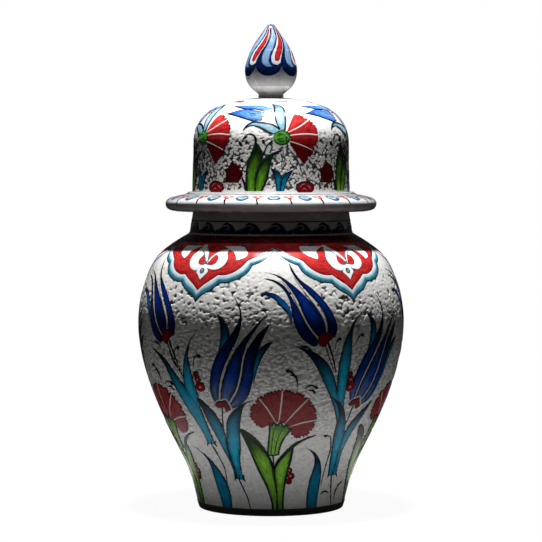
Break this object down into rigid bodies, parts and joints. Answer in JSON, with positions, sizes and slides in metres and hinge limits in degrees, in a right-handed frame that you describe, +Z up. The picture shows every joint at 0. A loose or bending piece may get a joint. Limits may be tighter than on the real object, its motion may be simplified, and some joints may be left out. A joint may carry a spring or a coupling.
{
  "type": "lidded ceramic jar",
  "caption": "Tall lidded jar with a full high-shouldered body on a narrow foot, a domed lid with a wide brim and an egg-shaped knob, hand painted with flowers.",
  "frame": {"origin": "centre of the foot ring's underside, on the axis of the jar", "axes": "+Z up along the axis of the jar, -Y towards the side shown in front, +X to the right of that side"},
  "size_m": [0.1654, 0.1654, 0.3],
  "materials": {
    "foot_glaze": "dark slate glaze with a black line above it, unglazed underneath",
    "body_glaze": "glossy white glaze over a dimpled ground, painted in cobalt, turquoise, red and green with black outlines",
    "neck_glaze": "glossy white glaze with a running navy scroll under a black line",
    "brim_glaze": "glossy white glaze with small blue and red florets on top",
    "dome_glaze": "glossy white glaze over a dimpled ground, painted with blue tulips and red carnations",
    "bare_biscuit": "matt unglazed biscuit",
    "knob_glaze": "glossy white glaze with a swirl of navy, light blue and red bands"
  },
  "bodies": {
    "jar": {"foot_ring": "foot_glaze", "jar_body": "body_glaze", "neck_collar": "neck_glaze"},
    "lid": {"lid_brim": "brim_glaze", "lid_dome": "dome_glaze", "lid_locating_ring": "bare_biscuit", "finial": "knob_glaze"}
  },
  "joints": [
    {"name": "lid_lift", "type": "slide", "parent": "jar", "child": "lid", "axis": [0, 0, 1], "range_m": [0, 0.1]}
  ]
}
